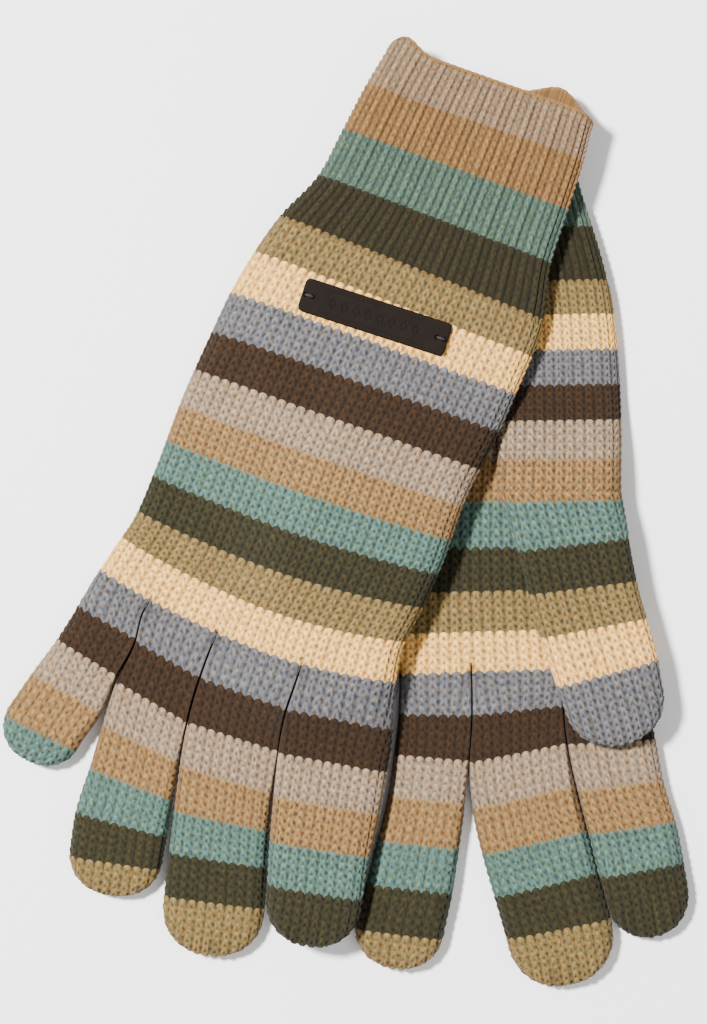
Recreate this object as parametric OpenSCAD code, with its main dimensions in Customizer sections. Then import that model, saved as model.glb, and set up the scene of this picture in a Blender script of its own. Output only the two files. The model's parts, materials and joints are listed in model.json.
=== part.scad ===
// A pair of knitted gloves lying one on the other.
// The left glove lies palm up on the surface, with its thumb folded over its palm.
// The right glove lies on it palm down, with its thumb folded under its palm.
// X runs to the right, Y from the fingertips to the cuffs, Z up from the surface.

/* [Fabric] */
// Thickness of the flattened glove, both layers and the air between them
glove_h = 9; // [8:0.5:10]
// Thickness of one layer of plain knitting
wall = 1.5; // [1:0.1:1.8]
// Thickness of one layer of ribbing at the cuffs
rib_wall = 1.9; // [1.2:0.1:2.2]
// Space left between bodies that only rest on each other
layer_gap = 0.4; // [0.3:0.1:0.6]
// Space cut back from each side of a finger
side_gap = 0.5; // [0.4:0.1:0.8]

/* [Thumbs] */
// Thickness of the left thumb, which lies free on the palm
left_thumb_h = 8; // [7:0.5:8]
// Thickness of the right thumb, which is pressed flat under the palm
right_thumb_h = 4.4; // [4:0.2:5]

/* [Label] */
// Length of the leather label across the back of the hand
label_l = 42; // [30:1:46]
// Width of the label
label_w = 9.4; // [6:0.2:12]
// Thickness of the leather
label_h = 1.2; // [0.8:0.1:2]
// Corner radius of the label
label_r = 1.6; // [0.5:0.1:3]
// Distance from the label's ends to its two stitch holes
stitch_inset = 3; // [2:0.5:6]
// Radius of a stitch hole and of the thread that fills it
stitch_r = 0.6; // [0.4:0.1:0.9]

/* [Hidden] */

// Each row below is a course of the knitting: its left end, then its right end.
left_cuff_rows = [
    [[4.5, 109], [63, 112]],
    [[1.5, 85], [65, 88]],
    [[-1, 62], [72, 64]]
];
left_hand_rows = [
    [[-1, 61.7], [72, 63.7]],
    [[-4, 36], [75, 38]],
    [[-5.5, 20], [76, 21]],
    [[-7, 6], [76.5, 6]]
];
left_palm_rows = [
    [[-7, 5.7], [76.5, 5.7]],
    [[-10, -18], [79, -16]],
    [[-13, -45.8], [84, -41.8]]
];
left_little_rows = [[[-13, -46], [9.5, -45]], [[-14.5, -70], [8, -71]], [[-15.5, -90], [5, -92]]];
left_ring_base_rows = [[[9.5, -45], [34.5, -44]], [[9, -62], [35.5, -64]], [[10, -79], [34.5, -82]]];
left_ring_tip_rows = [[[10, -79.4], [34.5, -82.4]], [[6, -104], [30, -107]], [[3.5, -113], [27.5, -116]]];
left_middle_base_rows = [[[34.5, -44], [60, -43]], [[34.5, -60], [60.5, -57]], [[35, -76], [62, -70]]];
left_middle_tip_rows = [[[35, -76.4], [62, -70.4]], [[41, -105], [69.5, -98]], [[46, -121], [74, -114]]];
left_index_base_rows = [[[60, -43], [84, -42]], [[60.5, -57], [85, -56]], [[62.5, -73], [87, -69]]];
left_index_tip_rows = [[[62.5, -73.4], [87, -69.4]], [[69, -97], [92.5, -93]], [[72, -108], [95, -104]]];
left_thumb_rows = [
    [[42, 5.7], [77, 5.7]],
    [[48, -14], [80, -14]],
    [[53, -34], [83.5, -34]],
    [[57.5, -52], [87, -50]]
];

right_cuff_rows = [
    [[13.5, 130.5], [67.5, 108.5]],
    [[-0.5, 105], [61.5, 81.5]],
    [[-17.5, 81], [54.5, 52]]
];
right_hand_rows = [
    [[-17.7, 80.6], [54.3, 51.6]],
    [[-30, 61], [47, 32]],
    [[-36, 50], [42.5, 21.5]],
    [[-46, 30.4], [35, 2.4]]
];
right_palm_rows = [
    [[-46.2, 30], [34.8, 2]],
    [[-56, 9], [26, -18]],
    [[-66, -11.8], [15, -39.8]]
];
right_little_base_rows = [[[-66, -12], [-51, -17.2]], [[-70, -19], [-53, -26]], [[-75, -27], [-56, -38]]];
right_little_tip_rows = [[[-75.2, -27.4], [-56.2, -38.4]], [[-86, -42], [-65, -53]], [[-93.5, -55], [-73, -66]]];
right_ring_base_rows = [[[-51, -17.2], [-32, -23.8]], [[-55, -38], [-38.5, -44]], [[-68.5, -58], [-45.5, -64]]];
right_ring_tip_rows = [[[-68.6, -58.4], [-45.6, -64.4]], [[-74, -78], [-49.5, -84]], [[-76, -91], [-51.5, -97]]];
right_middle_base_rows = [[[-32, -23.8], [-9.5, -31.5]], [[-38, -44], [-15.5, -48]], [[-47, -73], [-20, -76]]];
right_middle_tip_rows = [[[-47, -73.4], [-20, -76.4]], [[-49, -92], [-22, -95]], [[-50, -107], [-23.5, -110]]];
right_index_base_rows = [[[-9.5, -31.5], [15, -40]], [[-16, -48], [12.5, -52]], [[-19.5, -73], [9.5, -76]]];
right_index_tip_rows = [[[-19.5, -73.4], [9.5, -76.4]], [[-21, -92], [7, -95]], [[-22, -105], [4, -108]]];
right_thumb_rows = [
    [[-1, 14], [28, 4]],
    [[-8, -4], [20, -14]],
    [[-15, -24], [12, -33]],
    [[-19, -36], [7, -45]]
];

// The forks, where the hand divides into palm and thumb: the two ends of the thumb's root
left_fork = [[42, 6], [77, 6]];
right_fork = [[-1, 14.9], [28, 4.9]];
fork_reach = 28;
fork_fade = 9;

ring_n = 20;
dome_steps = [22, 44, 64, 80];
corner_power = 0.55;
roundness = 1.12;
tip_reach = 13;
overlap_lift = glove_h + layer_gap;
drape_start = -48;
drape_end = -14;
settle_end = -84;
settle_start = -50;
thumb_axis = [[13, 8], [-6, -34]];
bump_full = 16;
bump_fade = 20;
bump_h = right_thumb_h + 1.5 * layer_gap;

// Where the label lies on the back of the right hand
label_at = [8, 53];
label_turn = -18;
label_rest = overlap_lift + glove_h;

// Smooth step from 0 to 1
function ease(t) = let (c = min(max(t, 0), 1)) c * c * (3 - 2 * c);

// Height at which the left glove and the right palm hold the right glove up
function drape(p) = overlap_lift * ease((p[0] - drape_start) / (drape_end - drape_start));
function settle(p) = ease((p[1] - settle_end) / (settle_start - settle_end));
function along(p, a, b) = min(max((p - a) * (b - a) / ((b - a) * (b - a)), 0), 1);
function distance(p, a, b) = norm(p - a - along(p, a, b) * (b - a));
function bump(p) =
    bump_h * ease(1 - (distance(p, thumb_axis[0], thumb_axis[1]) - bump_full) / bump_fade);

// How far the hand opens towards the thumb: 1 at the thumb's root, 0 up the hand and beside it
function fork(p, root) =
    let (u = (root[1] - root[0]) / norm(root[1] - root[0]))
    let (d = p - (root[0] + root[1]) / 2)
    let (up = d * [-u[1], u[0]])
    let (aside = abs(d * u) - norm(root[1] - root[0]) / 2 + 1)
    ease(1 - up / fork_reach) * ease(1 - aside / fork_fade);

// Height of a tube's underside: flat, over the left glove, over the thumb too, or down to the surface
function base_at(p, lie) =
    lie == "flat" || lie == "left_fork" ? 0 :
    lie == "on_palm" ? overlap_lift :
    lie == "draped" ? drape(p) :
    lie == "settled" ? (drape(p) + bump(p)) * settle(p) :
    lie == "right_fork" ? drape(p) + bump(p) * (1 - fork(p, right_fork)) :
    drape(p) + bump(p);

// Height that a hand gains where it holds the root of its thumb
function swell_at(p, lie) =
    lie == "left_fork" ? (left_thumb_h + layer_gap) * fork(p, left_fork) :
    lie == "right_fork" ? bump(p) * fork(p, right_fork) :
    0;

// One ring of points around a flattened tube, between the ends of a row
function flatten(v) = min(max(roundness * sign(v) * pow(abs(v), corner_power), -1), 1);
function ring(l, r, z, h, lie) = [
    for (i = [0 : ring_n - 1])
    let (a = 360 * i / ring_n)
    let (p = (l + r) / 2 + (r - l) / 2 * sign(cos(a)) * pow(abs(cos(a)), 0.8))
    [p[0], p[1], base_at(p, lie) + z + (h + swell_at(p, lie)) / 2 * (1 + flatten(sin(a)))]
];

// Moves both ends of a row inwards
function inset(row, d) =
    let (u = (row[1] - row[0]) / norm(row[1] - row[0]))
    [row[0] + d * u, row[1] - d * u];

// Direction from the row towards the fingertip
function forward(row) =
    let (u = (row[1] - row[0]) / norm(row[1] - row[0]))
    [u[1], -u[0]];

// Rings that follow the rows, then close over a rounded tip where reach is over 0
function tube_rings(rows, h, d, reach, lie) =
    let (rest = [for (row = rows) inset(row, d)])
    let (last = rest[len(rest) - 1])
    let (mid = (last[0] + last[1]) / 2)
    let (half = (last[1] - last[0]) / 2)
    concat(
        [for (row = rest) ring(row[0], row[1], 0, h, lie)],
        reach == 0 ? [] : [
            for (a = dome_steps)
            let (at = mid + forward(last) * reach * sin(a))
            let (rise = h * (0.15 + 0.85 * sqrt(cos(a))))
            ring(at - half * cos(a), at + half * cos(a), (h - rise) / 2, rise, lie)
        ]
    );

function raise(rings, dz) = [for (one = rings) [for (p = one) p + [0, 0, dz]]];

// Triangles between two rings that start at points a and b
function band(a, b) = [
    for (i = [0 : ring_n - 1])
    let (j = (i + 1) % ring_n)
    each [[a + j, a + i, b + j], [b + j, a + i, b + i]]
];
function flip(faces) = [for (f = faces) [f[2], f[1], f[0]]];
function cap(a, order) = [[for (i = [0 : ring_n - 1]) a + (order < 0 ? i : ring_n - 1 - i)]];

// Hollow tube open at its first row, and at its last unless it is closed over
module hollow(outer, inner, closed) {
    rows = len(outer);
    inside = rows * ring_n;
    last = (rows - 1) * ring_n;
    outer_faces = [for (k = [0 : rows - 2]) each band(k * ring_n, (k + 1) * ring_n)];
    inner_faces = [for (k = [0 : rows - 2]) each band(inside + k * ring_n, inside + (k + 1) * ring_n)];
    ends = closed
        ? concat(cap(last, 1), cap(inside + last, -1))
        : band(last, inside + last);
    polyhedron(
        points = [for (one = concat(outer, inner)) each one],
        faces = concat(outer_faces, flip(inner_faces), flip(band(0, inside)), ends),
        convexity = 8
    );
}

// A knitted tube: rows of its outline, thickness, layer of fabric, tip and how it lies
module knit_tube(rows, h, layer, cut, reach, lie) {
    hollow(
        tube_rings(rows, h, cut, reach, lie),
        raise(tube_rings(rows, h - 2 * layer, cut + layer, max(reach - layer, 0), lie), layer),
        reach > 0
    );
}

module hand(rows, lie) {
    knit_tube(rows, glove_h, wall, 0, 0, lie);
}
module finger(rows, reach, lie) {
    knit_tube(rows, glove_h, wall, side_gap, reach, lie);
}

module left_cuff() {
    color([0.5, 0.62, 0.6]) knit_tube(left_cuff_rows, glove_h, rib_wall, 0, 0, "flat");
}
module left_hand() {
    color([0.66, 0.6, 0.48]) hand(left_hand_rows, "left_fork");
}
module left_palm() {
    color([0.66, 0.6, 0.48]) hand(left_palm_rows, "flat");
}
module left_thumb() {
    color([0.55, 0.59, 0.67]) knit_tube(left_thumb_rows, left_thumb_h, wall, 0, tip_reach, "on_palm");
}
module left_little() {
    color([0.66, 0.65, 0.65]) finger(left_little_rows, tip_reach, "flat");
}
module left_ring_base() {
    color([0.66, 0.65, 0.65]) finger(left_ring_base_rows, 0, "flat");
}
module left_ring_tip() {
    color([0.47, 0.63, 0.61]) finger(left_ring_tip_rows, tip_reach, "flat");
}
module left_middle_base() {
    color([0.66, 0.65, 0.65]) finger(left_middle_base_rows, 0, "flat");
}
module left_middle_tip() {
    color([0.47, 0.63, 0.61]) finger(left_middle_tip_rows, tip_reach, "flat");
}
module left_index_base() {
    color([0.66, 0.65, 0.65]) finger(left_index_base_rows, 0, "flat");
}
module left_index_tip() {
    color([0.47, 0.63, 0.61]) finger(left_index_tip_rows, tip_reach, "flat");
}

module right_cuff() {
    color([0.5, 0.62, 0.6]) knit_tube(right_cuff_rows, glove_h, rib_wall, 0, 0, "draped");
}
module right_hand() {
    color([0.66, 0.6, 0.48]) hand(right_hand_rows, "right_fork");
}
module right_palm() {
    color([0.66, 0.6, 0.48]) hand(right_palm_rows, "on_thumb");
}
module right_thumb() {
    color([0.55, 0.59, 0.67]) knit_tube(right_thumb_rows, right_thumb_h, wall, 0, tip_reach, "draped");
}
module right_little_base() {
    color([0.55, 0.59, 0.67]) finger(right_little_base_rows, 0, "settled");
}
module right_little_tip() {
    color([0.74, 0.6, 0.49]) finger(right_little_tip_rows, tip_reach, "settled");
}
module right_ring_base() {
    color([0.55, 0.59, 0.67]) finger(right_ring_base_rows, 0, "settled");
}
module right_ring_tip() {
    color([0.74, 0.6, 0.49]) finger(right_ring_tip_rows, tip_reach, "settled");
}
module right_middle_base() {
    color([0.55, 0.59, 0.67]) finger(right_middle_base_rows, 0, "settled");
}
module right_middle_tip() {
    color([0.74, 0.6, 0.49]) finger(right_middle_tip_rows, tip_reach, "settled");
}
module right_index_base() {
    color([0.55, 0.59, 0.67]) finger(right_index_base_rows, 0, "on_thumb");
}
module right_index_tip() {
    color([0.74, 0.6, 0.49]) finger(right_index_tip_rows, tip_reach, "on_thumb");
}

// Places its children on the back of the right hand, with X along the label
module on_label() {
    translate([label_at[0], label_at[1], label_rest + 0.1])
        rotate([0, 0, label_turn])
            children();
}
module label_outline() {
    square([label_l - 2 * label_r, label_w], center = true);
    square([label_l, label_w - 2 * label_r], center = true);
    for (x = [-1, 1], y = [-1, 1])
        translate([x * (label_l / 2 - label_r), y * (label_w / 2 - label_r)])
            circle(r = label_r, $fn = 48);
}
module label() {
    color([0.22, 0.16, 0.13]) on_label() difference() {
        linear_extrude(label_h) label_outline();
        for (x = [-1, 1])
            translate([x * (label_l / 2 - stitch_inset), 0, -1])
                cylinder(r = stitch_r, h = label_h + 2, $fn = 32);
    }
}
module label_stitches() {
    color([0.16, 0.12, 0.1]) on_label()
        for (x = [-1, 1])
            translate([x * (label_l / 2 - stitch_inset), 0, 0]) {
                cylinder(r = stitch_r - 0.1, h = label_h + stitch_r, $fn = 32);
                translate([0, 0, label_h + stitch_r])
                    rotate([0, x * 90, 0])
                        cylinder(r = stitch_r - 0.1, h = stitch_inset - 0.6, $fn = 32);
            }
}

left_cuff();
left_hand();
left_palm();
left_thumb();
left_little();
left_ring_base();
left_ring_tip();
left_middle_base();
left_middle_tip();
left_index_base();
left_index_tip();
right_cuff();
right_hand();
right_palm();
right_thumb();
right_little_base();
right_little_tip();
right_ring_base();
right_ring_tip();
right_middle_base();
right_middle_tip();
right_index_base();
right_index_tip();
label();
label_stitches();
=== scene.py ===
"""Looks for a pair of striped knitted gloves, the right one lying across the left one."""

import json
import math

import bpy
import numpy as np
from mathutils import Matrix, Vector


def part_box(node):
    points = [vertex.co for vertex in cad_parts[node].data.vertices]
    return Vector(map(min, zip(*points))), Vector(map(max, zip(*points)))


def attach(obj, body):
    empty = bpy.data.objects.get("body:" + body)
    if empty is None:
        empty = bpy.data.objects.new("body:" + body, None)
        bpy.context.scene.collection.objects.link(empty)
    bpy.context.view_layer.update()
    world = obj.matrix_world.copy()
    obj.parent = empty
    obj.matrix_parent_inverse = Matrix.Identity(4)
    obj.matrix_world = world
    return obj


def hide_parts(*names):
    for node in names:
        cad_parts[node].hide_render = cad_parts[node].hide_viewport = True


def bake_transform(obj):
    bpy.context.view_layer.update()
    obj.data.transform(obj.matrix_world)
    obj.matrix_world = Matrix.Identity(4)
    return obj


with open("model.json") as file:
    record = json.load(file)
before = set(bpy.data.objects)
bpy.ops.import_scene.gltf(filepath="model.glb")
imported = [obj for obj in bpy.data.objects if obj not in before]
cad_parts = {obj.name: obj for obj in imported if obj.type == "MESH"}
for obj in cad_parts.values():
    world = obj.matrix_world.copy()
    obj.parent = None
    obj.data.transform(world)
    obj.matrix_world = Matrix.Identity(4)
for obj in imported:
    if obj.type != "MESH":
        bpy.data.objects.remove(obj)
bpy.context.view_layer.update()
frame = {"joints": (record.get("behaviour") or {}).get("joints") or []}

# Lengths below are in millimetres and become metres where a mesh or a light is made.
MM = 0.001

# Thickness of a glove that lies flat, and how high the things on top of it lie
GLOVE_H = 9.0
LIFT = 9.4

# A glove's front has this many wales. Every stitch is a wale wide and a course long, and each of its two
# legs of yarn leans by LEG, sideways and along.
WALES = 32
COURSE = 2.4
WALE = 2.66
LEG = (0.8, 2.4)
YARN_R = 0.56

# Courses are counted from where the plain knitting starts, so the cuff's are negative
RIM = -28
STRIPE = 5.0
RIB_STRIPE = 7.0

# Radius of a folded edge, and the width of a wale on a finger
EDGE_R = 7.0
FINGER_WALE = 2.65

# A finger starts to part from the palm this many courses before its root
FADE_IN = 3.0

# Radius of the edges of neighbouring fingers where they touch. The left glove's lie looser.
PRESSED, LOOSE = 0.05, 0.5

# Columns of mesh for each wale and rows for each course
COLUMNS = 8
ROWS = 6

# Course given to the cast-on edge and the lining close behind it, which are tan
CAST_ON = RIM - 0.9

# How far the grooves lie below the top of the yarn. The ribbing has more and finer columns.
PLAIN_DEPTH = 0.85
RIB_DEPTH = 1.35
RIB_SHARE = 1.1
LOW_RIB = 0.74


def ease(t):
    c = np.clip(t, 0.0, 1.0)
    return c * c * (3.0 - 2.0 * c)


# ---------------------------------------------------------------- the shape of the knitting


def plain(s, t):
    """Height of plain knitting, 0 in the grooves and 1 on the yarn, at wale s and course t."""
    across = (np.abs(s - np.floor(s) - 0.5) - 0.07) * WALE
    best = np.zeros_like(across)
    for k in (-1, 0, 1, 2):
        along = (t - np.floor(t) - k + 0.38) * COURSE
        up = np.clip((across * LEG[0] + along * LEG[1]) / (LEG[0] ** 2 + LEG[1] ** 2), 0.0, 1.0)
        away = (across - up * LEG[0]) ** 2 + (along - up * LEG[1]) ** 2
        leg = np.sqrt(np.clip(1.0 - away / YARN_R**2, 0.0, 1.0)) * (1.0 - 0.45 * up)
        best = np.maximum(best, leg)
    return best


def rib(s, t):
    """Height of one-by-one ribbing: narrow columns of stitches, every other one lower."""
    u = (s - WALES / 2) * RIB_SHARE
    q = u - np.floor(u) - 0.5
    ridge = np.sqrt(np.clip(1.0 - (2.05 * q) ** 2, 0.0, 1.0))
    stitches = plain(0.5 + 0.86 * q, t)
    tall = np.where(np.floor(u) % 2 == 0, 1.0, LOW_RIB)
    return ridge * (0.45 + 0.55 * stitches) * tall


def relief(s, t):
    """How far the fabric lies below its outer surface, and the painted light that gives its grooves painted
    shade, 0 in the grooves and 1 on the yarn.
    """
    share = ease((t + 0.6) / 1.2)
    flat = plain(s, t)
    ribbed = rib(s, t)
    depth = share * PLAIN_DEPTH * (1.0 - flat) + (1.0 - share) * RIB_DEPTH * (1.0 - ribbed)
    edge = 0.25 + 0.75 * ease((t - RIM) / 1.5)
    return depth * edge, share * flat + (1.0 - share) * ribbed


# ---------------------------------------------------------------- how the gloves lie


def drape(x):
    """Height of the right glove's underside where it climbs on to the left glove."""
    return LIFT * ease((x + 48.0) / 34.0)


def bump(x, y):
    """Height that the right thumb, folded under its palm, adds."""
    ax, ay, bx, by = 13.0, 8.0, -6.0, -34.0
    along = ((x - ax) * (bx - ax) + (y - ay) * (by - ay)) / ((bx - ax) ** 2 + (by - ay) ** 2)
    along = np.clip(along, 0.0, 1.0)
    away = np.hypot(x - ax - along * (bx - ax), y - ay - along * (by - ay))
    return 5.0 * ease(1.0 - (away - 16.0) / 20.0)


def lie_flat(x, y):
    return np.zeros_like(x)


def lie_beneath(x, y):
    return drape(x)


def lie_on_palm(x, y):
    return np.full_like(x, LIFT)


def lie_over(x, y):
    return drape(x) + bump(x, y)


def lie_settled(x, y):
    """Like lie_over, but the fingers come down to the floor beyond the lower glove."""
    return (drape(x) + bump(x, y)) * ease((y + 84.0) / 34.0)


def curve(t, at, values, first_slope=None):
    """Values at t on a smooth curve through the given ones."""
    at = np.asarray(at, float)
    values = np.asarray(values, float)
    slope = np.gradient(values, at, axis=0)
    if first_slope is not None:
        slope[0] = first_slope
    t = np.asarray(t, float)
    i = np.clip(np.searchsorted(at, t, side="right") - 1, 0, len(at) - 2)
    h = (at[i + 1] - at[i])[:, None]
    x = (t - at[i])[:, None] / h
    x2, x3 = x * x, x * x * x
    return (
        (2 * x3 - 3 * x2 + 1) * values[i]
        + (x3 - 2 * x2 + x) * h * slope[i]
        + (3 * x2 - 2 * x3) * values[i + 1]
        + (x3 - x2) * h * slope[i + 1]
    )


def section(q, width, left_r, right_r):
    """A flattened tube's outline. q is -1 to 1 along the fabric from its left edge to its right one.
    Gives the share of the way across, the height from 0 at the edges to 1, and the fabric's length to q.
    """
    r = np.minimum(np.where(q < 0, left_r, right_r), 0.42 * width)
    fibres_and_painted_light = width / 2 - r
    arc = 1.41 * r
    d = np.abs(q) * (fibres_and_painted_light + arc)
    turn = np.clip((d - fibres_and_painted_light) / arc, 0.0, 1.0) * math.pi / 2
    x = np.where(d < fibres_and_painted_light, d, fibres_and_painted_light + r * np.sin(turn))
    z = np.where(d < fibres_and_painted_light, 1.0, np.cos(turn))
    return 0.5 + np.sign(q) * x / width, z, np.sign(q) * d


def tip_width(past):
    """Share of its width that a finger keeps, from 1 where its round tip starts to 0 at its end."""
    return np.clip(1.0 - past**2.3, 1e-4, 1.0)[:, None] ** 0.47


def tip_height(narrow):
    return narrow**0.65


def finger_rows(left, right, t, last, reach):
    """Middles, spans and widths of a finger's rows, and the share of its width that each row keeps. Rows
    past the last one carry on straight ahead, round the tip.
    """
    span = right - left
    width = np.linalg.norm(span, axis=1)[:, None]
    unit = span / width
    forward = np.stack([unit[:, 1], -unit[:, 0]], axis=1)
    past = np.clip((t - last) * COURSE / reach, 0.0, 1.0)
    middle = (left + right) / 2 + forward * (past * reach)[:, None]
    return middle, span, width, tip_width(past)


class Palm:
    """The part of a glove above its fingers. Rows are (course, left end, right end, bow), where bow is how
    far the middle of the row swings towards the fingers.
    """

    def __init__(self, rows):
        self.at = [r[0] for r in rows]
        self.rows = [[*r[1], *r[2], r[3]] for r in rows]

    def row(self, t):
        v = curve(t, self.at, self.rows)
        return v[:, 0:2], v[:, 2:4], v[:, 4]

    def place(self, across, t):
        """Points a share of the way across the rows t. across is rows x columns."""
        left, right, bow = self.row(t)
        span = right - left
        unit = span / np.linalg.norm(span, axis=1)[:, None]
        forward = np.stack([unit[:, 1], -unit[:, 0]], axis=1)
        swing = (4.0 * across * (1.0 - across) * bow[:, None])[:, :, None]
        return left[:, None] + span[:, None] * across[:, :, None] + forward[:, None] * swing

    def width(self, t):
        left, right, _ = self.row(t)
        return np.linalg.norm(right - left, axis=1)[:, None]

    def grid(self, s, t):
        """Points on the middle plane, height share, wales, for columns s and rows t."""
        q = np.broadcast_to(s / (WALES / 2) - 1.0, (len(t), len(s)))
        across, z, _ = section(q, self.width(t), EDGE_R, EDGE_R)
        return self.place(across, t), z, np.broadcast_to(s, z.shape)


class Finger:
    """One finger of a glove, from where its shape starts in the palm to its tip. Its columns run from
    wale s0 to s1, reach is the length of its round tip, and outer says which sides have no neighbour.
    """

    def __init__(self, palm, root, s0, s1, rows, reach, lie, outer, crease):
        self.palm, self.root, self.s0, self.s1 = palm, root, s0, s1
        self.reach, self.lie, self.outer, self.crease = reach, lie, outer, crease
        self.last = rows[-1][0]
        ends = [self.palm_ends(root + d)[0] for d in (-0.2, 0.0)]
        slope = (ends[1] - ends[0]) / 0.2
        self.at = [root] + [r[0] for r in rows]
        self.values = np.vstack([ends[1]] + [[[*r[1], *r[2]]] for r in rows])
        self.slope = slope

    def palm_ends(self, t):
        """The palm's points at this finger's left and right edges, for the rows t."""
        t = np.atleast_1d(np.asarray(t, float))
        s = np.array([self.s0, self.s1])
        p, _, _ = self.palm.grid(s, t)
        return p.reshape(len(t), 4)

    def ends(self, t):
        """Its left and right edges for the rows t, with a hair's breadth between neighbours."""
        inside = t <= self.root
        out = curve(np.clip(t, self.root, self.last), self.at, self.values, self.slope)
        if inside.any():
            out[inside] = self.palm_ends(t[inside])
        left, right = out[:, 0:2], out[:, 2:4]
        unit = (right - left) / np.linalg.norm(right - left, axis=1)[:, None]
        gap = 0.02 * ease((t - self.root) / 3.0)[:, None]
        return left + unit * gap, right - unit * gap

    def grid(self, s, t):
        left, right = self.ends(t)
        middle, span, width, narrow = finger_rows(left, right, t, self.last, self.reach)
        q = (s - self.s0) / (self.s1 - self.s0) * 2.0 - 1.0
        q = np.broadcast_to(q, (len(t), len(s)))
        apart = ease((t - self.root - 6.0) / 22.0)[:, None]
        near, far = self.crease + (5.0 - self.crease) * apart, EDGE_R - 1.4 * apart
        left_r = far if self.outer[0] else near
        right_r = far if self.outer[1] else near
        across, z, length = section(q, width, left_r, right_r)
        p = middle[:, None] + span[:, None] * ((across - 0.5) * narrow)[:, :, None]
        z = z * tip_height(narrow)

        own = (self.s0 + self.s1) / 2 + length * narrow / FINGER_WALE
        share = ease((t - self.root) / 7.0)[:, None]
        wale = (1.0 - share) * np.broadcast_to(s, z.shape) + share * own
        if (t < self.root).any():
            w = ease((t - self.root + FADE_IN) / FADE_IN)[:, None]
            p_palm, z_palm, _ = self.palm.grid(s, t)
            p = (1.0 - w)[:, :, None] * p_palm + w[:, :, None] * p
            z = (1.0 - w) * z_palm + w * z
        return p, z, wale


def outward(ring, top):
    """Directions out of a sleeve, given one column on its top."""
    around = np.roll(ring, -1, axis=1) - np.roll(ring, 1, axis=1)
    n = np.cross(np.gradient(ring, axis=0), around)
    n = n / np.maximum(np.linalg.norm(n, axis=2, keepdims=True), 1e-9)
    return n * np.sign(n[:, top, 2].mean())


def build(name, parts, t, lie, height=GLOVE_H, swell=None, tip=False, trim=(0, 0), last=1e9,
          crotches=(), rim=False, lift_back=None, rim_shape=None, opening=None, touching=None):
    """Makes one sleeve of knitting.

    parts are (shape, columns) from left to right and t the rows. lie gives the height it lies at. The
    trim rows at each end only serve to find the direction of the surface. last is the last course that
    changes colour, and crotches are the (wale, course) places where fingers part. rim turns the first row
    in. swell adds thickness, opening lowers the underside, touching smooths sides that are pressed flat,
    rim_shape moves both layers along the glove and lift_back only the one underneath.
    """
    fronts = [shape.grid(s, t) for shape, s in parts]
    p, z, wale = fronts[0]
    for q, zz, ww in fronts[1:]:
        p = np.concatenate([p[:, :-1], (p[:, -1:] + q[:, :1]) / 2, q[:, 1:]], axis=1)
        z = np.concatenate([z[:, :-1], (z[:, -1:] + zz[:, :1]) / 2, zz[:, 1:]], axis=1)
        wale = np.concatenate([wale[:, :-1], ww], axis=1)
    m = p.shape[1] - 1
    thick = np.full(z.shape, height) if swell is None else height + swell(p[:, :, 0], p[:, :, 1])
    base = 0.0
    if opening is not None:
        drop, share = opening(t[:, None])
        thick, base = thick + drop * share, -drop * share

    if rim_shape is not None:
        dx, dy = rim_shape(wale, t[:, None])
        p = p + np.stack([dx, dy], axis=2)

    def side(sign):
        x, y = p[:, :, 0], p[:, :, 1]
        if sign < 0 and lift_back is not None:
            dx, dy = lift_back(wale, t[:, None])
            x, y = x + dx, y + dy
        return np.stack([x, y, lie(x, y) + base + thick / 2 * (1.0 + sign * z)], axis=2)

    ring = np.concatenate([side(1), side(-1)[:, -2:0:-1]], axis=1)
    smooth = np.zeros(z.shape)
    if touching is not None:
        q = np.linspace(-1.0, 1.0, m + 1)[None, :]
        smooth = touching(q, t[:, None]) * np.maximum(1.0 - z, ease((np.abs(q) - 0.86) / 0.12))
    smooth = np.concatenate([smooth, smooth[:, -2:0:-1]], axis=1)
    wale = np.concatenate([wale, wale[:, -2:0:-1]], axis=1)
    course = np.broadcast_to(t[:, None], wale.shape)

    n = outward(ring, m // 2)
    depth, painted_light = relief(wale, course)
    # Where fingers part, the relief is flattened and the fabric is darkened with painted shade.
    for at, root in crotches:
        fade = np.exp(-(((wale - at) / 0.7) ** 2) - ((course - root) / 1.6) ** 2)
        depth = depth * (1.0 - fade)
        painted_light = painted_light * (1.0 - 0.75 * fade)
    # Sides pressed flat lose their relief and most of the painted shade of their grooves.
    depth = depth * (1.0 - smooth)
    painted_light = np.maximum(painted_light, 0.8 * smooth)
    points = ring - n * depth[:, :, None]
    keep = slice(trim[0], len(t) - trim[1])
    points, n, wale, course, painted_light = (a[keep] for a in (points, n, wale, course, painted_light))
    if rim:
        points, wale, course, painted_light = turn_in(points, n, ring[keep], wale, course, painted_light)
    return sleeve(name, points, wale, np.minimum(course, last), painted_light, tip)


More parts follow.
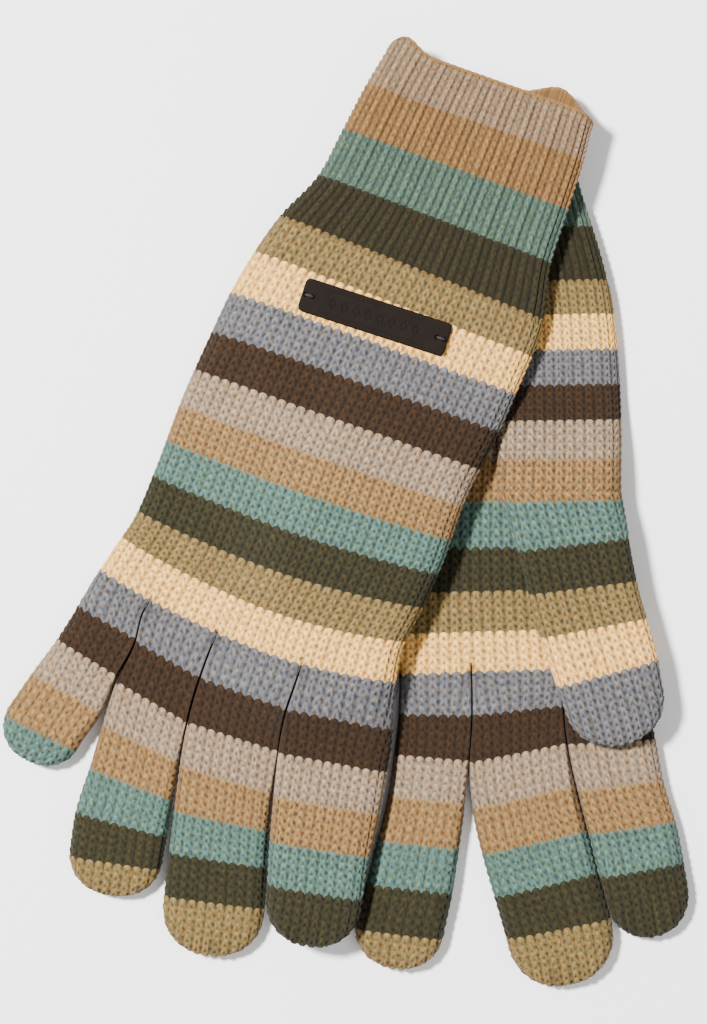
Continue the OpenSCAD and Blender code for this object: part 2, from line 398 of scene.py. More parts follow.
def turn_in(points, n, ring, wale, course, painted_light):
    """Adds the cast-on edge at the first row, a cord of five rows, and the inside of the cuff behind it."""
    layer = 1.9
    edge_rows = (150, 120, 90, 60, 30)
    away = ring[0] - ring[4]
    away = away / np.linalg.norm(away, axis=1, keepdims=True)
    inner = ring - n * layer
    inside = list(range(len(ring) * 2 // 3, 0, -ROWS // 2))
    new = list(inner[inside])
    cords = 0.5 + 0.5 * np.abs(np.sin(math.pi * wale[0]))
    for a in edge_rows:
        c, s = math.cos(math.radians(a)), math.sin(math.radians(a))
        r = layer / 2
        swell = (0.75 + 0.35 * cords * s)[:, None]
        new.append(ring[0] - n[0] * r + n[0] * (r * c * 0.9) + away * (r * s * swell))

    count = len(edge_rows)
    # The cord of the edge gets painted shade between its strands, and the inside of the cuff an even
    # painted shade.
    cord_painted_light = np.tile(cords * 0.4 + 0.6, (count, 1))
    painted_lights = np.concatenate([np.full((len(inside), wale.shape[1]), 0.55), cord_painted_light])
    lining = np.where(course[inside] < RIM + 3.5, CAST_ON, course[inside])
    courses = np.concatenate([lining, np.full((count, wale.shape[1]), CAST_ON)])
    wales = np.concatenate([wale[inside], np.tile(wale[0], (count, 1))])
    return (
        np.concatenate([np.array(new), points]),
        np.concatenate([wales, wale]),
        np.concatenate([courses, course]),
        np.concatenate([painted_lights, painted_light]),
    )


def bake_map(rows, cols, tip):
    """A flat layout of a sleeve without overlaps, its front on the left and its back on the right."""
    half = cols // 2
    scale = 0.49 / half

    def across(c, column):
        return np.where(column < half, 0.005 + c * scale, 0.015 + c * scale)

    j, r = np.meshgrid(np.arange(cols), np.arange(rows - 1))
    u0, u1 = across(j, j), across(j + 1, j)
    v0, v1 = 0.005 + r * (0.98 / rows), 0.005 + (r + 1) * (0.98 / rows)
    corners = np.stack([u0, v0, u0, v1, u1, v1, u1, v0], axis=2).reshape(-1, 2)
    if not tip:
        return corners
    low, high = np.full(cols, 0.985), np.full(cols, 0.995)
    cap = np.stack([u0[0], low, (u0[0] + u1[0]) / 2, high, u1[0], low], axis=1)
    return np.concatenate([corners, cap.reshape(-1, 2)])


def add_object(name, data):
    o = bpy.data.objects.new(name, data)
    bpy.context.scene.collection.objects.link(o)
    return o


def sleeve(name, points, wale, course, painted_light, tip):
    """Mesh of rows of points, each row a loop, with its knitting map and its bake map. A tip is closed."""
    rows, cols = points.shape[:2]
    co = points.reshape(-1, 3)
    s, t, painted_light = wale.ravel(), course.ravel(), painted_light.ravel()
    r = np.arange(rows - 1)[:, None] * cols
    j = np.arange(cols)[None, :]
    k = (j + 1) % cols
    quads = np.stack([r + j, r + cols + j, r + cols + k, r + k], axis=2).reshape(-1, 4)
    loops = quads.ravel()
    starts = np.arange(len(quads)) * 4
    if tip:
        pole = len(co)
        end = points[-1].mean(0) * 2 - points[-3].mean(0) * 0.5 - points[-1].mean(0) * 0.5
        co = np.vstack([co, end])
        s, t, painted_light = np.append(s, s[-1]), np.append(t, t[-1]), np.append(painted_light, painted_light[-1])
        base = (rows - 1) * cols
        fan = np.stack([base + j[0], np.full(cols, pole), base + k[0]], axis=1)
        starts = np.concatenate([starts, len(loops) + np.arange(cols) * 3])
        loops = np.concatenate([loops, fan.ravel()])

    me = bpy.data.meshes.new(name)
    me.vertices.add(len(co))
    me.vertices.foreach_set("co", (co * MM).astype(np.float32).ravel())
    me.loops.add(len(loops))
    me.loops.foreach_set("vertex_index", loops.astype(np.int32))
    me.polygons.add(len(starts))
    me.polygons.foreach_set("loop_start", starts.astype(np.int32))
    me.update(calc_edges=True)
    bake = bake_map(rows, cols, tip)
    me.uv_layers.new(name="OFBake").data.foreach_set("uv", bake.astype(np.float32).ravel())
    me.validate()
    half = cols // 2
    if me.polygons[0].normal.z < 0 and points[0, half // 2, 2] > points[0, half + half // 2, 2]:
        me.flip_normals()
    me.shade_smooth()
    knit = me.uv_layers.new(name="knit")
    index = np.empty(len(me.loops), np.int32)
    me.loops.foreach_get("vertex_index", index)
    knit.data.foreach_set("uv", np.stack([s[index], t[index]], axis=1).astype(np.float32).ravel())
    # The attribute named depth carries painted light: low where the grooves get painted shade, 1 on top of
    # the yarn.
    painted_light_attribute = me.attributes.new("depth", "FLOAT", "POINT")
    painted_light_attribute.data.foreach_set("value", painted_light.astype(np.float32))
    return add_object(name, me)


def columns(s0, s1):
    return np.linspace(s0, s1, max(8, int(round((s1 - s0) * COLUMNS))) + 1)


def rows_between(t0, t1):
    return np.linspace(t0, t1, max(4, int(round((t1 - t0) * ROWS))) + 1)


# ---------------------------------------------------------------- the rows of each glove

right_palm = Palm(
    [
        (-28, (11.6, 127.6), (68.8, 107.4), 0.0),
        (-21, (4.8, 116.4), (65.8, 95.6), 0.0),
        (-14, (-1.4, 104.5), (61.4, 81.8), 0.0),
        (-7, (-8.2, 92.0), (56.8, 67.2), 0.0),
        (0, (-18.8, 80.8), (54.6, 51.6), 0.0),
        (9.3, (-32.0, 61.0), (47.2, 32.4), 0.0),
        (14.4, (-37.4, 50.0), (42.6, 21.8), 0.0),
        (22.2, (-44.8, 34.0), (34.2, 5.6), 0.5),
        (34, (-53.6, 11.0), (26.0, -16.5), 2.0),
        (40, (-58.6, -0.8), (20.9, -27.6), 3.4),
        (46, (-64.2, -9.4), (15.4, -39.0), 5.0),
        (51, (-70.6, -19.0), (13.6, -50.6), 5.0),
    ]
)
left_palm = Palm(
    [
        (-28, (6.0, 114.0), (61.0, 112.6), 0.0),
        (-14, (1.5, 89.5), (65.0, 92.5), 0.0),
        (0, (-1.0, 62.0), (73.4, 63.6), 0.0),
        (13.2, (-4.0, 36.5), (76.4, 37.8), 0.0),
        (21.6, (-5.5, 20.0), (76.8, 21.0), 0.0),
        (28.2, (-7.0, 5.8), (76.5, 5.8), 0.0),
        (37.2, (-10.0, -18.0), (79.0, -16.0), 0.0),
        (50, (-13.2, -47.4), (84.0, -44.0), 0.0),
    ]
)

# Courses where the fingers part
RIGHT_ROOT, LEFT_ROOT = 51.0, 50.0


def wale_at(palm, root, across):
    """The wale a share of the way across the palm at its last row."""
    s = np.linspace(0, WALES, 641)
    q = s / (WALES / 2) - 1.0
    got, _, _ = section(q[None, :], palm.width(np.array([float(root)])), EDGE_R, EDGE_R)
    return float(np.interp(across, got[0], s))


def fingers(palm, root, shares, lies, crease, table):
    """A glove's fingers from left to right, parted at these shares of the palm's width. The table gives
    each one's name, rows (course, left end, right end) and reach.
    """
    cuts = [0.0] + [wale_at(palm, root, a) for a in shares] + [float(WALES)]
    made = {}
    for i, (name, rows, reach) in enumerate(table):
        outer = (i == 0, i == len(table) - 1)
        made[name] = Finger(palm, root, cuts[i], cuts[i + 1], rows, reach, lies[i], outer, crease)
    return made


right = fingers(
    right_palm,
    RIGHT_ROOT,
    (0.185, 0.42, 0.70),
    (lie_settled, lie_settled, lie_settled, lie_over),
    PRESSED,
    [
        ("little", [
            (55, (-75.4, -27.2), (-58.6, -36.6)),
            (60, (-81.2, -36.4), (-64.0, -46.8)),
            (65, (-88.4, -46.0), (-68.4, -57.2)),
            (68.5, (-94.2, -54.4), (-73.6, -64.8)),
        ], 11.4),
        ("ring", [
            (55, (-58.9, -37.2), (-41.0, -47.6)),
            (60, (-64.3, -48.4), (-44.4, -59.8)),
            (65, (-68.2, -60.4), (-46.6, -71.0)),
            (70, (-72.0, -72.4), (-48.2, -81.5)),
            (75, (-75.8, -84.8), (-49.8, -91.5)),
            (78.3, (-77.0, -93.0), (-50.8, -97.0)),
        ], 12.5),
        ("middle", [
            (55, (-41.0, -47.6), (-16.6, -55.5)),
            (60, (-44.4, -59.8), (-18.8, -67.6)),
            (65, (-46.6, -72.0), (-20.2, -79.6)),
            (70, (-48.2, -84.5), (-21.4, -90.0)),
            (75, (-49.8, -96.0), (-21.8, -100.2)),
            (80, (-51.0, -108.2), (-22.4, -111.8)),
        ], 14.2),
        ("index", [
            (55, (-16.6, -55.5), (13.0, -61.5)),
            (60, (-18.8, -67.6), (11.4, -73.0)),
            (65, (-20.2, -79.6), (9.2, -84.6)),
            (70, (-21.3, -92.0), (6.6, -96.4)),
            (75.2, (-22.0, -104.4), (4.6, -108.6)),
        ], 13.8),
    ],
)
left = fingers(
    left_palm,
    LEFT_ROOT,
    (0.29, 0.495, 0.752),
    (lie_flat,) * 4,
    LOOSE,
    [
        ("little", [
            (57, (-14.2, -63.0), (8.6, -63.5)),
            (64, (-15.2, -80.0), (5.4, -81.5)),
            (68, (-15.4, -90.0), (3.8, -91.8)),
        ], 12.0),
        ("ring", [
            (55, (14.6, -57.5), (35.0, -58.0)),
            (60, (13.2, -68.8), (34.2, -70.6)),
            (65, (11.4, -80.4), (33.2, -82.6)),
            (70, (8.2, -92.6), (31.6, -95.2)),
            (75, (5.0, -104.8), (29.8, -107.6)),
            (78.3, (2.4, -113.2), (27.8, -116.4)),
        ], 13.0),
        ("middle", [
            (55, (35.0, -58.0), (60.4, -55.0)),
            (60, (34.2, -71.2), (61.6, -65.6)),
            (65, (35.2, -84.0), (64.2, -77.6)),
            (70, (38.0, -96.8), (67.4, -90.0)),
            (75, (41.4, -108.6), (70.6, -101.6)),
            (79.8, (44.6, -119.8), (74.2, -114.0)),
        ], 15.6),
        ("index", [
            (55, (60.4, -55.0), (84.6, -54.0)),
            (60, (61.6, -66.0), (86.6, -64.6)),
            (65, (64.4, -79.0), (88.8, -76.0)),
            (70, (67.6, -91.0), (92.2, -87.4)),
            (76.6, (71.4, -107.0), (95.2, -102.4)),
        ], 14.4),
    ],
)

# ---------------------------------------------------------------- the pieces of fabric

# The left thumb starts at this course, as high as this over the hand and from this left edge
FORK = 28.2
THUMB_RISE = 8.4
THUMB_LEFT = 41.5

# Direction out of the right cuff
CUFF_OUT = (0.37, 0.93)


def thumb_swell(x, y):
    """How far the left hand rises towards the root of its thumb."""
    rise = ease(1.0 - (y - 5.8) / 30.0)
    turn = np.clip((THUMB_LEFT + 7.0 - x) / 7.0, 0.0, 1.0)
    top = (GLOVE_H + THUMB_RISE) / 2 * (1.0 + np.sqrt(1.0 - turn**2))
    return rise * np.maximum(np.where(x > THUMB_LEFT, top, 0.0) - GLOVE_H, 0.0)


def strips(glove):
    """The palm's columns, split where the fingers will part."""
    return [(f, columns(f.s0, f.s1)) for f in glove.values()]


def crotch_list(glove, root):
    cuts = [f.s0 for f in glove.values()][1:]
    return [(c, root) for c in cuts]


def palm_rows(start, end, extra=(True, True)):
    """Rows from start to end with an extra one past either end, and how many of those to trim."""
    step = 1.0 / ROWS
    t = rows_between(start, end)
    before = [start - step] if extra[0] else []
    after = [end + step] if extra[1] else []
    return np.concatenate([before, t, after]), (len(before), len(after))


def raise_back(wale, t):
    """At the cuff's edge the layer underneath shows a little past the layer on top."""
    near = ease((RIM + 12.0 - t) / 12.0)
    out = 5.0 * np.exp(-(((wale - 24.8) / 3.5) ** 2))
    return CUFF_OUT[0] * out * near, CUFF_OUT[1] * out * near


def round_rim(wale, t):
    """The edge of the right cuff curls up at its left corner and drops at its right one."""
    near = ease((RIM + 10.0 - t) / 10.0)
    out = 3.2 * np.exp(-(((wale - 3.2) / 2.4) ** 2)) - 1.4 * np.exp(-(((WALES - wale) / 2.6) ** 2))
    return CUFF_OUT[0] * out * near, CUFF_OUT[1] * out * near


whole = [(right_palm, columns(0, WALES))]
t, trim = palm_rows(RIM, 0, (False, True))
right_cuff = build(
    "right_cuff_knit", whole, t, lie_over, trim=trim, rim=True, lift_back=raise_back, rim_shape=round_rim
)

t, trim = palm_rows(0, RIGHT_ROOT)
right_hand = build(
    "right_hand_knit", strips(right), t, lie_over, trim=trim, crotches=crotch_list(right, RIGHT_ROOT)
)

whole = [(left_palm, columns(0, WALES))]
t, trim = palm_rows(RIM, 0, (False, True))
left_cuff = build("left_cuff_knit", whole, t, lie_flat, trim=trim, rim=True)

t, trim = palm_rows(0, FORK)
left_hand = build("left_hand_knit", whole, t, lie_flat, trim=trim, swell=thumb_swell)

t, trim = palm_rows(FORK, LEFT_ROOT)
left_lower = build(
    "left_palm_knit", strips(left), t, lie_flat, trim=trim, crotches=crotch_list(left, LEFT_ROOT)
)


def tip_rows(finger, start, step_in=True):
    """Rows down a finger, closer together round its tip, and how many stand before its start."""
    t = rows_between(start, finger.last)
    before = [start - 1.0 / ROWS] if step_in else []
    arcs = int(finger.reach * 1.5 / COURSE * ROWS)
    angle = np.linspace(0, math.radians(89), arcs)[1:]
    return np.concatenate([before, t, finger.last + np.sin(angle) * finger.reach / COURSE]), len(before)


def make_finger(name, finger, root, last):
    t, before = tip_rows(finger, root)
    sides = []
    if not finger.outer[0]:
        sides.append((finger.s0, root))
    if not finger.outer[1]:
        sides.append((finger.s1, root))
    part = [(finger, columns(finger.s0, finger.s1))]

    def touching(q, t):
        """How firmly each side is pressed flat against the finger beside it."""
        beside = np.where(q < 0, 0.0 if finger.outer[0] else 1.0, 0.0 if finger.outer[1] else 1.0)
        return 0.97 * beside * (1.0 - ease((t - root - 6.0) / 18.0))

    return build(
        name, part, t, finger.lie, tip=True, trim=(before, 0), last=last, crotches=sides, touching=touching
    )


def stripe_end(number):
    """The last course that takes the colour of this stripe."""
    return number * STRIPE + 3.9


digits = {}
for name, finger in right.items():
    last = stripe_end({"little": 14, "index": 15}.get(name, 16))
    digits["right_" + name] = make_finger("right_" + name + "_knit", finger, RIGHT_ROOT, last)
for name, finger in left.items():
    last = stripe_end(15 if name in ("index", "little") else 16)
    digits["left_" + name] = make_finger("left_" + name + "_knit", finger, LEFT_ROOT, last)


class Thumb:
    """A thumb folded across its palm. Rows are (course, left end, right end). pitch is the width of its
    wales and radius that of its folded edges.
    """

    def __init__(self, rows, reach, middle_wale, pitch, radius):
        self.at = [r[0] for r in rows]
        self.values = [[*r[1], *r[2]] for r in rows]
        self.last, self.reach = rows[-1][0], reach
        self.middle, self.pitch, self.radius = middle_wale, pitch, radius
        self.s0, self.s1 = middle_wale - 7.0, middle_wale + 7.0

    def grid(self, s, t):
        v = curve(np.minimum(t, self.last), self.at, self.values)
        middle, span, width, narrow = finger_rows(v[:, 0:2], v[:, 2:4], t, self.last, self.reach)
        q = np.broadcast_to((s - self.middle) / 7.0, (len(t), len(s)))
        radius = EDGE_R + (self.radius - EDGE_R) * ease((t - self.at[0]) / 8.0)[:, None]
        across, z, length = section(q, width, radius, radius)
        p = middle[:, None] + span[:, None] * ((across - 0.5) * narrow)[:, :, None]
        return p, z * tip_height(narrow), self.middle + length * narrow / self.pitch


left_thumb_shape = Thumb(
    [
        (FORK, (THUMB_LEFT, 5.8), (76.5, 5.8)),
        (35, (47.4, -12.4), (78.4, -8.6)),
        (40, (50.4, -24.4), (80.6, -20.4)),
        (45, (53.8, -36.4), (83.4, -30.6)),
        (50, (58.2, -49.8), (86.4, -42.2)),
        (52, (60.0, -54.4), (87.2, -47.4)),
    ],
    14.0,
    24.9,
    2.79,
    4.6,
)


def thumb_root(t):
    """At its root the thumb is as thick as the whole hand there, and its underside is inside the palm."""
    return LIFT, 1.0 - ease((t - FORK) / 6.0)


t, before = tip_rows(left_thumb_shape, FORK, False)
digits["left_thumb"] = build(
    "left_thumb_knit",
    [(left_thumb_shape, columns(left_thumb_shape.s0, left_thumb_shape.s1))],
    t,
    lie_on_palm,
    height=8.0,
    tip=True,
    last=stripe_end(10),
    opening=thumb_root,
)

right_thumb_shape = Thumb(
    [
        (26, (-1.0, 14.0), (28.0, 4.0)),
        (34, (-8.0, -4.0), (20.0, -14.0)),
        (43, (-15.0, -24.0), (12.0, -33.0)),
        (48, (-18.0, -33.0), (8.5, -42.0)),
    ],
    13.0,
    20.0,
    2.8,
    3.0,
)
t, before = tip_rows(right_thumb_shape, 26, False)
digits["right_thumb"] = build(
    "right_thumb_knit",
    [(right_thumb_shape, columns(right_thumb_shape.s0, right_thumb_shape.s1))],
    t,
    lie_beneath,
    height=4.4,
    tip=True,
    last=stripe_end(10),
)

# ---------------------------------------------------------------- the leather label

LABEL_L, LABEL_W, LABEL_H, LABEL_R = 42.0, 9.4, 1.2, 1.6
label_low, label_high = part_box("label")
label_at = (label_low + label_high) / 2 / MM
label_z = label_low.z / MM
LABEL_TURN = math.radians(-18)


def on_label(x, y, z):
    """Points on the back of the hand from places along, across and above the label."""
    c, s = math.cos(LABEL_TURN), math.sin(LABEL_TURN)
    return np.stack([label_at.x + x * c - y * s, label_at.y + x * s + y * c, label_z + z], axis=-1)


def label_edge(x, y):
    """Distance from the label's rounded outline, negative inside it."""
    dx = np.abs(x) - LABEL_L / 2 + LABEL_R
    dy = np.abs(y) - LABEL_W / 2 + LABEL_R
    outside = np.hypot(np.maximum(dx, 0), np.maximum(dy, 0))
    return outside + np.minimum(np.maximum(dx, dy), 0) - LABEL_R


def pressed(x, y):
    """The pattern pressed into the leather: a row of lozenges between two fine lines."""
    step = 3.4
    row = np.abs(x) < 13.6
    lozenge = np.abs((x / step - np.floor(x / step) - 0.5) * step) / 1.25 + np.abs(y) / 1.9
    marks = ease((1.05 - np.abs(lozenge - 0.72) / 0.28) * 1.6) * row
    lines = ease((0.32 - np.abs(np.abs(y) - 3.3)) / 0.2) * (np.abs(x) < 15.2)
    holes = sum(ease((0.75 - np.hypot(np.abs(x) - h, y)) / 0.3) for h in (17.9, 19.9))
    return 0.16 * marks + 0.12 * lines + 0.85 * holes


def make_label():
    """A slab of leather with rounded corners, its pattern pressed into the top."""
    step = 0.15
    xs = np.linspace(-LABEL_L / 2, LABEL_L / 2, int(LABEL_L / step))
    ys = np.linspace(-LABEL_W / 2, LABEL_W / 2, int(LABEL_W / step))
    x, y = np.meshgrid(xs, ys)
    over = np.maximum(label_edge(x, y), 0)
    cx = np.sign(x) * (LABEL_L / 2 - LABEL_R)
    cy = np.sign(y) * (LABEL_W / 2 - LABEL_R)
    away = np.maximum(np.hypot(x - cx, y - cy), 1e-6)
    x, y = x - over * (x - cx) / away, y - over * (y - cy) / away
    inside = np.clip(-label_edge(x, y) / 0.5, 0.0, 1.0)
    z = LABEL_H - 0.5 * (1.0 - np.sqrt(1.0 - (1.0 - inside) ** 2)) - pressed(x, y)
    top = on_label(x, y, z).reshape(-1, 3)
    rows, cols = x.shape
    edge = list(range(cols))
    edge += [r * cols + cols - 1 for r in range(1, rows)]
    edge += [(rows - 1) * cols + c for c in range(cols - 2, -1, -1)]
    edge += [r * cols for r in range(rows - 2, 0, -1)]
    bottom = on_label(x.ravel()[edge], y.ravel()[edge], np.zeros(len(edge)))
    verts = np.concatenate([top, bottom]) * MM
    i = (np.arange(rows - 1)[:, None] * cols + np.arange(cols - 1)[None, :]).ravel()
    faces = [tuple(f) for f in np.stack([i, i + 1, i + cols + 1, i + cols], axis=1)]
    base = rows * cols
    count = len(edge)
    for k in range(count):
        n = (k + 1) % count
        faces.append((edge[n], edge[k], base + k, base + n))
    faces.append(tuple(base + k for k in range(count - 1, -1, -1)))
    me = bpy.data.meshes.new("label_leather")
    me.from_pydata(verts.tolist(), [], faces)
    me.shade_smooth()
    return add_object("label_leather", me)


def tube(name, paths, radius, sides=10):
    """Mesh of round threads along paths of points, closed at both ends."""
    verts, faces = [], []
    for path in paths:
        path = np.asarray(path, float)
        along = np.gradient(path, axis=0)
        along /= np.linalg.norm(along, axis=1, keepdims=True)
        side = np.cross(along, [0.2, 0.9, 0.1])
        side /= np.linalg.norm(side, axis=1, keepdims=True)
        up = np.cross(side, along)
        start = len(verts)
        for p, a, b in zip(path, side, up):
            for k in range(sides):
                w = 2 * math.pi * k / sides
                verts.append((p + radius * (a * math.cos(w) + b * math.sin(w))) * MM)
        for r in range(len(path) - 1):
            for k in range(sides):
                n = (k + 1) % sides
                i = start + r * sides
                faces.append((i + k, i + n, i + sides + n, i + sides + k))
        faces.append(tuple(start + k for k in range(sides - 1, -1, -1)))
        last = start + (len(path) - 1) * sides
        faces.append(tuple(last + k for k in range(sides)))
    me = bpy.data.meshes.new(name)
    me.from_pydata([tuple(v) for v in verts], [], faces)
    me.shade_smooth()
    return add_object(name, me)


def stitch_path(sign):
    """A thread that comes up through the label's hole and goes down past its end."""
    a = np.radians(np.linspace(0, 180, 17))
    x = 18.9 - 0.95 * np.cos(a)
    z = 0.75 + 0.7 * np.sin(a)
    return on_label(sign * x, np.zeros_like(x), z)


label = make_label()
thread = tube("label_thread", [stitch_path(-1), stitch_path(1)], 0.42)

# ---------------------------------------------------------------- what moves with what


def bend(piece, name, toward):
    """Finds which way across the joint's hinge points towards toward, but does not use it: the piece is not
    bent, only its transform is baked into its mesh.
    """
    joint = [j for j in frame["joints"] if j["name"] == name][0]
    direction = np.cross(joint["axis"], (0, 0, 1))
    direction = direction / np.linalg.norm(direction)
    if np.dot(direction, toward) < 0:
        direction = -direction
    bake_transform(piece)


DOWN = (0, -1, 0)
UP = (0, 1, 0)
BENDING = (
    "left_ring", "left_middle", "left_index",
    "right_little", "right_ring", "right_middle", "right_index",
)

bend(digits["left_thumb"], "left_thumb_lift", DOWN)
bend(right_cuff, "right_cuff_fold", UP)
for name in BENDING:
    bend(digits[name], name + "_bend", DOWN)
for piece in (left_hand, left_lower, left_cuff, digits["left_little"]):
    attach(piece, "left_glove")
for piece in (right_hand, digits["right_thumb"], label, thread):
    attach(piece, "right_glove")

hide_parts("left_cuff")
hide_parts("left_hand")
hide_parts("left_palm")
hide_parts("left_thumb")
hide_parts("left_little")
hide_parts("right_cuff")
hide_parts("right_hand", "right_palm")
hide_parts("right_thumb")
for name in BENDING:
    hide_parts(name + "_base", name + "_tip")
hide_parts("label")
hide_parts("label_stitches")

# ---------------------------------------------------------------- materials

# Yarn colours in the order of the stripes, from the cast-on edge of the cuff
YARNS = [
    ("lavender", (0.22, 0.152, 0.093)),
    ("tan", (0.19, 0.105, 0.036)),
    ("teal", (0.06, 0.107, 0.083)),
    ("olive", (0.02, 0.017, 0.0055)),
    ("sage", (0.148, 0.097, 0.031)),
    ("cream", (0.69, 0.38, 0.1)),
    ("blue", (0.095, 0.09, 0.09)),
    ("brown", (0.022, 0.01, 0.003)),
]

# The yarn is heather: its fibres lean a little to a warm or to a cool shade
WARM = (1.14, 1.0, 0.82, 1.0)
COOL = (0.86, 1.0, 1.22, 1.0)

# Painted shade on the ribbing, darker and warmer, for the light that its columns swallow between them
OPEN = (1.0, 1.0, 1.0, 1.0)
RIB_SHADE = (0.87, 0.8, 0.72, 1.0)


class Nodes:
    """Short ways to add shader nodes to one material."""

    def __init__(self, name):
        self.material = bpy.data.materials.new(name)
        self.material.use_nodes = True
        self.tree = self.material.node_tree
        self.shader = self.tree.nodes["Principled BSDF"]

    def feed(self, socket, value):
        if isinstance(value, bpy.types.NodeSocket):
            self.tree.links.new(value, socket)
        elif value is not None:
            socket.default_value = value

    def math(self, operation, a, b=None, c=None, clamp=False):
        n = self.tree.nodes.new("ShaderNodeMath")
        n.operation = operation
        n.use_clamp = clamp
        for i, v in enumerate((a, b, c)):
            self.feed(n.inputs[i], v)
        return n.outputs[0]

    def add(self, kind, **settings):
        n = self.tree.nodes.new(kind)
        for key, value in settings.items():
            setattr(n, key, value)
        return n

    def between(self, fac, a, b):
        n = self.add("ShaderNodeMix", data_type="RGBA")
        self.feed(n.inputs["Factor"], fac)
        self.feed(n.inputs["A"], a)
        self.feed(n.inputs["B"], b)
        return n.outputs["Result"]

    def noise(self, vector, scale, detail=2.0):
        n = self.add("ShaderNodeTexNoise")
        self.feed(n.inputs["Vector"], vector)
        n.inputs["Scale"].default_value = scale
        n.inputs["Detail"].default_value = detail
        return n.outputs["Fac"]


def yarn_material():
    """Striped yarn, coloured by where it lies in the knitting."""
    k = Nodes("striped_yarn")
    place = k.add("ShaderNodeUVMap", uv_map="knit")
    parts = k.add("ShaderNodeSeparateXYZ")
    k.feed(parts.inputs[0], place.outputs[0])
    s, t = parts.outputs[0], parts.outputs[1]
    ribbed = k.math("LESS_THAN", t, 0.0)

    # Each stitch rises in a small arch above the row before it.
    def arch(x):
        reach = k.math("MINIMUM", k.math("MULTIPLY", x, 1.85), 0.97)
        rest = k.math("SUBTRACT", 1.0, k.math("MULTIPLY", reach, reach))
        return k.math("SUBTRACT", 1.0, k.math("SQRT", rest))

    x = k.math("ABSOLUTE", k.math("SUBTRACT", k.math("FRACT", s), 0.5))
    column = k.math("FRACT", k.math("MULTIPLY", k.math("SUBTRACT", s, WALES / 2), RIB_SHARE))
    x_rib = k.math("ABSOLUTE", k.math("SUBTRACT", column, 0.5))
    here = k.math("ADD", t, k.math("SUBTRACT", 0.6, k.math("MULTIPLY", arch(x), 0.75)))
    here_rib = k.math("ADD", t, k.math("SUBTRACT", 0.4, k.math("MULTIPLY", arch(x_rib), 0.5)))
    plain_stripe = k.math("FLOOR", k.math("DIVIDE", here, STRIPE))
    rib_stripe = k.math("FLOOR", k.math("DIVIDE", here_rib, RIB_STRIPE))
    stripe = k.math(
        "ADD", k.math("MULTIPLY", plain_stripe, k.math("SUBTRACT", 1.0, ribbed)),
        k.math("MULTIPLY", rib_stripe, ribbed))
    rim = k.math("LESS_THAN", here_rib, RIM + 0.5)
    number = k.math("MODULO", k.math("ADD", stripe, 12.0), 8.0)
    number = k.math("ADD", k.math("MULTIPLY", number, k.math("SUBTRACT", 1.0, rim)), rim)
    ramp = k.add("ShaderNodeValToRGB")
    ramp.color_ramp.interpolation = "CONSTANT"
    elements = ramp.color_ramp.elements
    while len(elements) < len(YARNS):
        elements.new(0.5)
    for i, (_, rgb) in enumerate(YARNS):
        elements[i].position = i / 8.0
        elements[i].color = (*rgb, 1.0)
    k.feed(ramp.inputs[0], k.math("DIVIDE", k.math("ADD", number, 0.5), 8.0))

    # Fibres of slightly different shades, and stitches that differ a little from each other
    stretch = k.add("ShaderNodeCombineXYZ")
    k.feed(stretch.inputs[0], k.math("MULTIPLY", s, 3.0))
    k.feed(stretch.inputs[1], k.math("MULTIPLY", t, 1.3))
    fibres = k.noise(stretch.outputs[0], 1.3, 5.0)
    patches = k.noise(place.outputs[0], 0.35, 2.0)
    shade = k.math("MULTIPLY_ADD", fibres, 2.2, -0.3)
    shade = k.math("MULTIPLY_ADD", patches, 0.4, shade)
    # Painted shade in the grooves: the colour is darkened where the depth attribute is low.
    depth = k.add("ShaderNodeAttribute", attribute_name="depth").outputs["Fac"]
    painted_light_level = k.math("ADD", 0.25, k.math("MULTIPLY", depth, 0.9))
    fibres_and_painted_light = k.math("MULTIPLY", shade, painted_light_level)
    hues = k.noise(stretch.outputs[0], 0.9, 3.0)
    tint = k.between(k.math("MULTIPLY_ADD", hues, 3.0, -1.0, clamp=True), WARM, COOL)
    heather = k.add("ShaderNodeVectorMath", operation="MULTIPLY")
    k.feed(heather.inputs[0], ramp.outputs[0])
    k.feed(heather.inputs[1], tint)
    # Painted shade on the ribbing.
    shaded = k.add("ShaderNodeVectorMath", operation="MULTIPLY")
    k.feed(shaded.inputs[0], heather.outputs[0])
    k.feed(shaded.inputs[1], k.between(ribbed, OPEN, RIB_SHADE))
    mixed = k.add("ShaderNodeVectorMath", operation="SCALE")
    k.feed(mixed.inputs[0], shaded.outputs[0])
    k.feed(mixed.inputs["Scale"], fibres_and_painted_light)
    k.feed(k.shader.inputs["Base Color"], mixed.outputs[0])
    k.shader.inputs["Roughness"].default_value = 0.92
    k.shader.inputs["Specular IOR Level"].default_value = 0.2
    k.shader.inputs["Sheen Weight"].default_value = 0.05
    k.shader.inputs["Sheen Roughness"].default_value = 0.5

    hair = k.noise(stretch.outputs[0], 3.0, 4.0)
    bump_node = k.add("ShaderNodeBump")
    bump_node.inputs["Strength"].default_value = 0.5
    bump_node.inputs["Distance"].default_value = 0.00025
    k.feed(bump_node.inputs["Height"], hair)
    k.feed(k.shader.inputs["Normal"], bump_node.outputs[0])
    return k.material


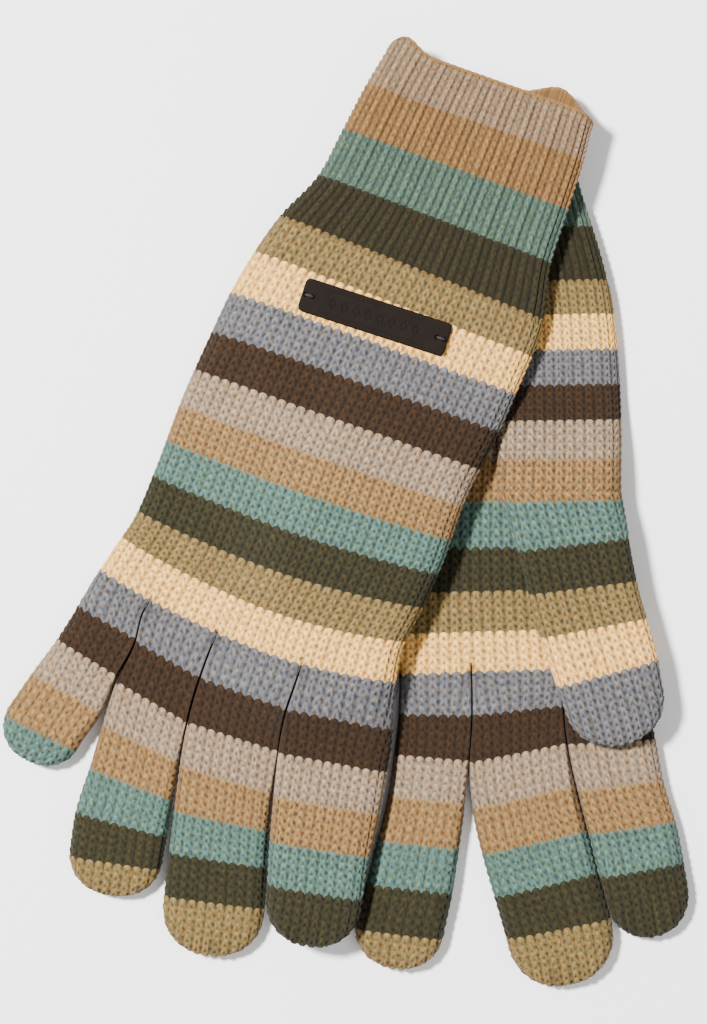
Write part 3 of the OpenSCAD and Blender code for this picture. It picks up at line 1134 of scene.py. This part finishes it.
def leather_material():
    k = Nodes("dark_leather")
    where = k.add("ShaderNodeTexCoord").outputs["Object"]
    cells = k.add("ShaderNodeTexVoronoi")
    k.feed(cells.inputs["Vector"], where)
    cells.inputs["Scale"].default_value = 1500.0
    cloud = k.noise(where, 300.0, 3.0)
    dark, light = (0.003, 0.0017, 0.0011, 1.0), (0.008, 0.0046, 0.003, 1.0)
    k.feed(k.shader.inputs["Base Color"], k.between(cloud, dark, light))
    k.shader.inputs["Roughness"].default_value = 0.8
    k.shader.inputs["Specular IOR Level"].default_value = 0.1
    bump_node = k.add("ShaderNodeBump")
    bump_node.inputs["Strength"].default_value = 0.35
    bump_node.inputs["Distance"].default_value = 0.00012
    k.feed(bump_node.inputs["Height"], cells.outputs["Distance"])
    k.feed(k.shader.inputs["Normal"], bump_node.outputs[0])
    return k.material


def thread_material():
    k = Nodes("dark_thread")
    where = k.add("ShaderNodeTexCoord").outputs["Object"]
    twist = k.add("ShaderNodeTexWave")
    k.feed(twist.inputs["Vector"], where)
    twist.inputs["Scale"].default_value = 900.0
    dark, light = (0.006, 0.0025, 0.0015, 1.0), (0.016, 0.007, 0.004, 1.0)
    k.feed(k.shader.inputs["Base Color"], k.between(twist.outputs["Fac"], dark, light))
    k.shader.inputs["Roughness"].default_value = 0.8
    return k.material


yarn = yarn_material()
for piece in (left_cuff, left_hand, left_lower, right_cuff, right_hand, *digits.values()):
    piece.data.materials.append(yarn)
label.data.materials.append(leather_material())
thread.data.materials.append(thread_material())

# ---------------------------------------------------------------- floor, light and camera


def floor_material():
    k = Nodes("pale_floor")
    k.shader.inputs["Base Color"].default_value = (0.9, 0.9, 0.9, 1.0)
    k.shader.inputs["Roughness"].default_value = 0.9
    return k.material


bpy.ops.mesh.primitive_plane_add(size=4.0, location=(0, 0, -0.0004))
floor = bpy.context.object
floor.name = "floor"
floor.data.materials.append(floor_material())


def area_light(name, place, size, power):
    """A round light that faces the middle of the gloves."""
    data = bpy.data.lights.new(name, "AREA")
    data.shape = "DISK"
    data.size = size
    data.energy = power
    lamp = add_object(name, data)
    lamp.location = place
    lamp.rotation_mode = "QUATERNION"
    lamp.rotation_quaternion = (-Vector(place)).to_track_quat("-Z", "Y")


# A hard key light from the upper left and a broad, weak fill
area_light("key", (-0.46, 0.24, 1.1), 0.16, 56.0)
area_light("fill", (0.5, -0.4, 1.3), 1.2, 8.0)
world = bpy.data.worlds.new("soft_room")
world.use_nodes = True
world.node_tree.nodes["Background"].inputs[0].default_value = (1.0, 1.0, 1.0, 1.0)
world.node_tree.nodes["Background"].inputs[1].default_value = 0.55
bpy.context.scene.world = world

camera = bpy.data.cameras.new("camera")
camera.lens = 100.0
camera.clip_end = 20.0
eye = add_object("camera", camera)
eye.location = (0.0021, -0.0003, 0.797)
bpy.context.scene.camera = eye
